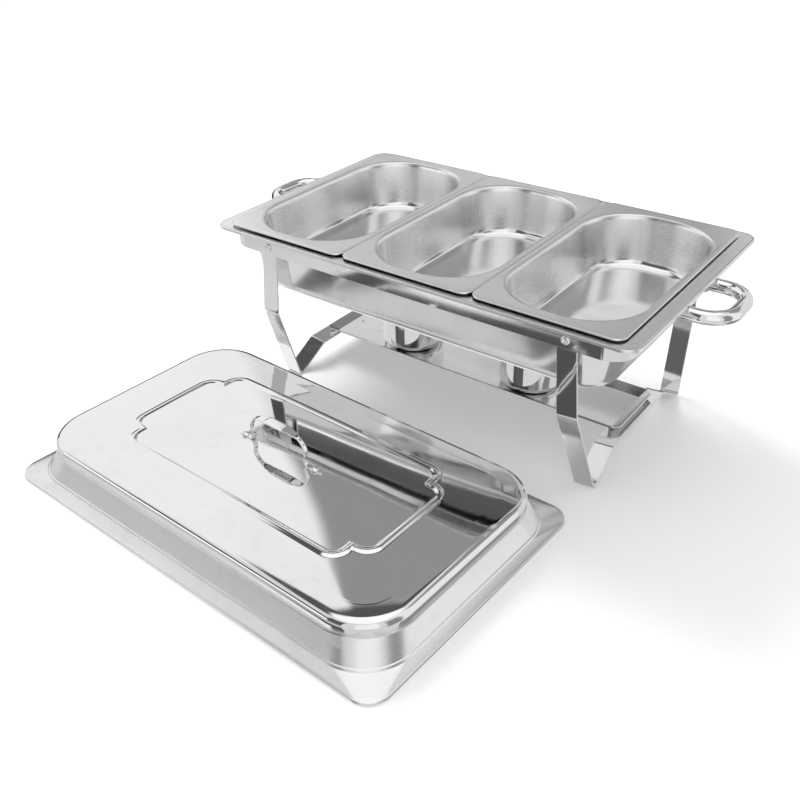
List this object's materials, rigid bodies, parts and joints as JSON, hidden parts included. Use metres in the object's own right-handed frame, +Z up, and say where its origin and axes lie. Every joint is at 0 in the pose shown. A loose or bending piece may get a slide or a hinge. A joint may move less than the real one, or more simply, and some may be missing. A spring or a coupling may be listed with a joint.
{
  "type": "folding chafing dish",
  "caption": "Folding stainless chafing dish: strip stand with end handles, water pan, deep food pans, swivel-damper burners on a tray, and a loose embossed lid with a strap handle.",
  "frame": {"origin": "on the floor under the middle of the laid-out set, stand at the back and lid in front", "axes": "+X along the length of the stand, +Y from the lid towards the stand, +Z up"},
  "size_m": [0.6537, 0.6742, 0.2191],
  "materials": {
    "mirror_steel": "mirror-polished stainless steel",
    "satin_steel": "satin stainless steel",
    "lid_steel": "polished top, satin sides",
    "rivet_steel": "bright plated steel",
    "collar_steel": "dull stainless steel"
  },
  "bodies": {
    "stand": {"top_ring": "satin_steel", "handle_left": "mirror_steel", "handle_right": "mirror_steel", "handle_collars": "collar_steel", "pivot_rivets": "rivet_steel"},
    "left_legs": {"leg_frame_left": "mirror_steel"},
    "right_legs": {"leg_frame_right": "mirror_steel"},
    "tray": {"fuel_tray": "mirror_steel", "tray_rivets": "rivet_steel"},
    "burner_left": {"burner_cup_left": "mirror_steel", "burner_cover_left": "mirror_steel", "damper_rivet_left": "rivet_steel"},
    "damper_left": {"damper_left": "satin_steel"},
    "burner_right": {"burner_cup_right": "mirror_steel", "burner_cover_right": "mirror_steel", "damper_rivet_right": "rivet_steel"},
    "damper_right": {"damper_right": "satin_steel"},
    "water_pan": {"water_pan": "satin_steel"},
    "food_pan_left": {"food_pan_left": "satin_steel"},
    "food_pan_middle": {"food_pan_middle": "satin_steel"},
    "food_pan_right": {"food_pan_right": "satin_steel"},
    "lid": {"lid_shell": "lid_steel", "lid_handle": "mirror_steel", "lid_rivets": "rivet_steel", "lid_washers": "rivet_steel"}
  },
  "joints": [
    {"name": "water_pan_lift", "type": "slide", "parent": "stand", "child": "water_pan", "axis": [0, 0, 1], "range_m": [0, 0.36]},
    {"name": "food_pan_left_lift", "type": "slide", "parent": "water_pan", "child": "food_pan_left", "axis": [0, 0, 1], "range_m": [0, 0.12]},
    {"name": "food_pan_middle_lift", "type": "slide", "parent": "water_pan", "child": "food_pan_middle", "axis": [0, 0, 1], "range_m": [0, 0.12]},
    {"name": "food_pan_right_lift", "type": "slide", "parent": "water_pan", "child": "food_pan_right", "axis": [0, 0, 1], "range_m": [0, 0.12]},
    {"name": "tray_lift", "type": "slide", "parent": "stand", "child": "tray", "axis": [0, 0, 1], "range_m": [0, 0.25]},
    {"name": "left_leg_fold", "type": "hinge", "parent": "stand", "child": "left_legs", "pos_m": [-0.19763, 0.1671, 0.2027], "axis": [0, -1, 0], "range_deg": [0, 77]},
    {"name": "right_leg_fold", "type": "hinge", "parent": "stand", "child": "right_legs", "pos_m": [0.20237, 0.1671, 0.2027], "axis": [0, 1, 0], "range_deg": [0, 77]},
    {"name": "burner_left_lift", "type": "slide", "parent": "tray", "child": "burner_left", "axis": [0, 0, 1], "range_m": [0, 0.05]},
    {"name": "damper_left_swivel", "type": "hinge", "parent": "burner_left", "child": "damper_left", "pos_m": [-0.10363, 0.1351, 0.08], "axis": [0, 0, 1], "range_deg": [0, 100]},
    {"name": "burner_right_lift", "type": "slide", "parent": "tray", "child": "burner_right", "axis": [0, 0, 1], "range_m": [0, 0.05]},
    {"name": "damper_right_swivel", "type": "hinge", "parent": "burner_right", "child": "damper_right", "pos_m": [0.08037, 0.1351, 0.08], "axis": [0, 0, 1], "range_deg": [0, 100]},
    {"name": "lid_lift", "type": "slide", "parent": "stand", "child": "lid", "axis": [0, -0.6, 0.8], "range_m": [0, 0.3]}
  ],
  "couplings": [
    {"joint": "tray_lift", "follows": "water_pan_lift", "ratio": 0.6939},
    {"joint": "left_leg_fold", "follows": "water_pan_lift", "rad_per_m": 3.732},
    {"joint": "right_leg_fold", "follows": "water_pan_lift", "rad_per_m": 3.732}
  ]
}
